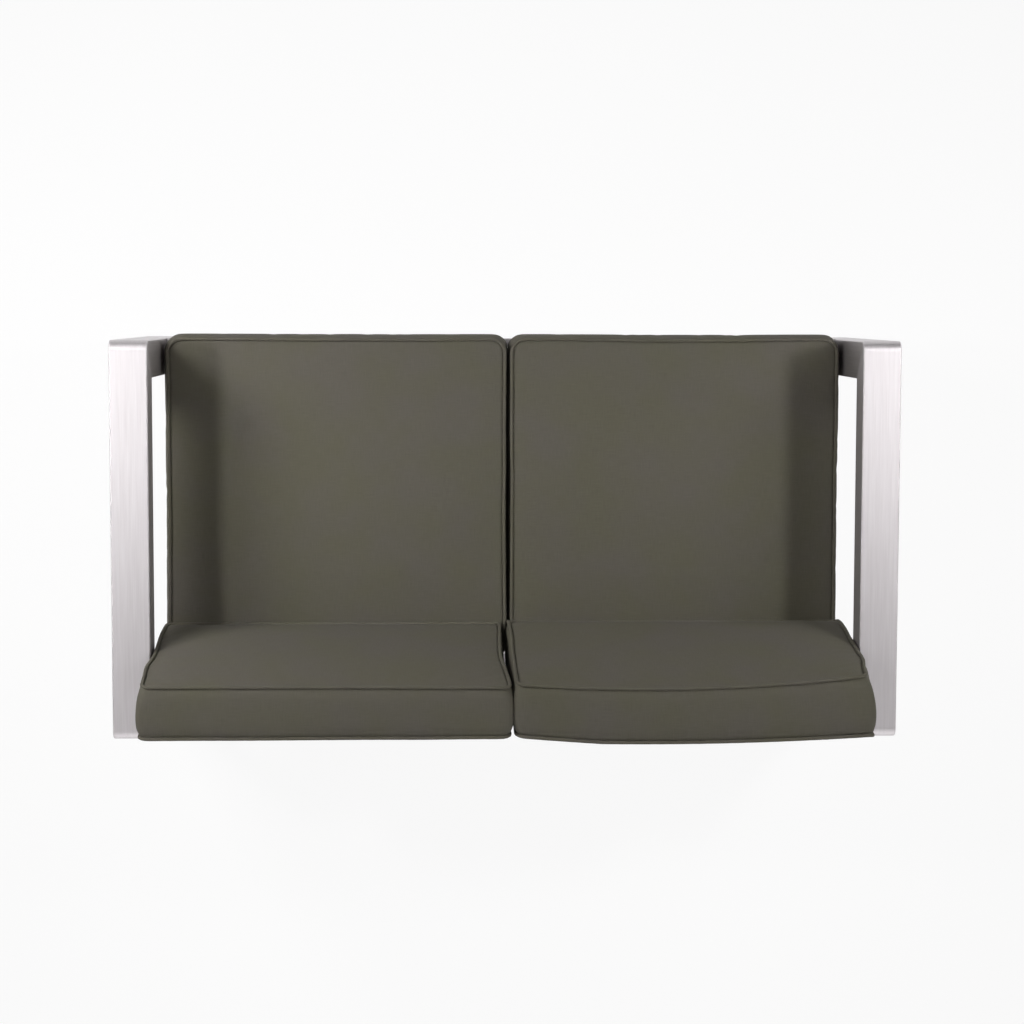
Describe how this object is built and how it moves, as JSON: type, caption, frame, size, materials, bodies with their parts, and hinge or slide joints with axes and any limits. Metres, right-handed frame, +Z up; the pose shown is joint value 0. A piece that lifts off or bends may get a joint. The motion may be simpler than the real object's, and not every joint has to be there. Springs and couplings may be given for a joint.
{
  "type": "patio loveseat",
  "caption": "Patio loveseat with an aluminium frame, wide flat arms on mitred legs, a slatted deck and reclined slatted back, and loose welted seat and back cushions.",
  "frame": {"origin": "on the floor, in the middle of the whole loveseat's box", "axes": "+Z up, the sitter faces -Y, +X towards the sitter's left arm"},
  "size_m": [1.44, 0.74, 0.784],
  "materials": {
    "brushed_aluminium": "satin",
    "foot_plastic": "matte",
    "zinc_steel": "satin",
    "olive_fabric": "matte",
    "foam": "matte"
  },
  "bodies": {
    "frame": {"left_arm_rail": "brushed_aluminium", "left_front_leg": "brushed_aluminium", "left_rear_leg": "brushed_aluminium", "left_front_foot": "foot_plastic", "left_rear_foot": "foot_plastic", "left_side_seat_rail": "brushed_aluminium", "left_seat_support": "brushed_aluminium", "left_back_stile": "brushed_aluminium", "right_arm_rail": "brushed_aluminium", "right_front_leg": "brushed_aluminium", "right_rear_leg": "brushed_aluminium", "right_front_foot": "foot_plastic", "right_rear_foot": "foot_plastic", "right_side_seat_rail": "brushed_aluminium", "right_seat_support": "brushed_aluminium", "right_back_stile": "brushed_aluminium", "front_seat_rail": "brushed_aluminium", "rear_seat_rail": "brushed_aluminium", "back_top_rail": "brushed_aluminium", "back_bottom_rail": "brushed_aluminium", "seat_slat_1": "brushed_aluminium", "seat_slat_2": "brushed_aluminium", "seat_slat_3": "brushed_aluminium", "seat_slat_4": "brushed_aluminium", "seat_slat_5": "brushed_aluminium", "seat_slat_6": "brushed_aluminium", "seat_slat_7": "brushed_aluminium", "seat_slat_8": "brushed_aluminium", "back_slat_1": "brushed_aluminium", "back_slat_2": "brushed_aluminium", "back_slat_3": "brushed_aluminium", "frame_bolts": "zinc_steel", "bolt_washers": "zinc_steel", "insert_nuts": "zinc_steel"},
    "left_seat_cushion": {"left_seat_cushion_cover": "olive_fabric", "left_seat_cushion_foam": "foam"},
    "left_back_cushion": {"left_back_cushion_cover": "olive_fabric", "left_back_cushion_foam": "foam"},
    "right_seat_cushion": {"right_seat_cushion_cover": "olive_fabric", "right_seat_cushion_foam": "foam"},
    "right_back_cushion": {"right_back_cushion_cover": "olive_fabric", "right_back_cushion_foam": "foam"}
  },
  "joints": [
    {"name": "left_seat_cushion_slide", "type": "slide", "parent": "frame", "child": "left_seat_cushion", "axis": [0, -1, 0], "range_m": [0, 0.25]},
    {"name": "left_back_cushion_lift", "type": "slide", "parent": "frame", "child": "left_back_cushion", "axis": [0, 0.1736, 0.9848], "range_m": [0, 0.3]},
    {"name": "right_seat_cushion_slide", "type": "slide", "parent": "frame", "child": "right_seat_cushion", "axis": [0, -1, 0], "range_m": [0, 0.25]},
    {"name": "right_back_cushion_lift", "type": "slide", "parent": "frame", "child": "right_back_cushion", "axis": [0, 0.1736, 0.9848], "range_m": [0, 0.3]}
  ]
}
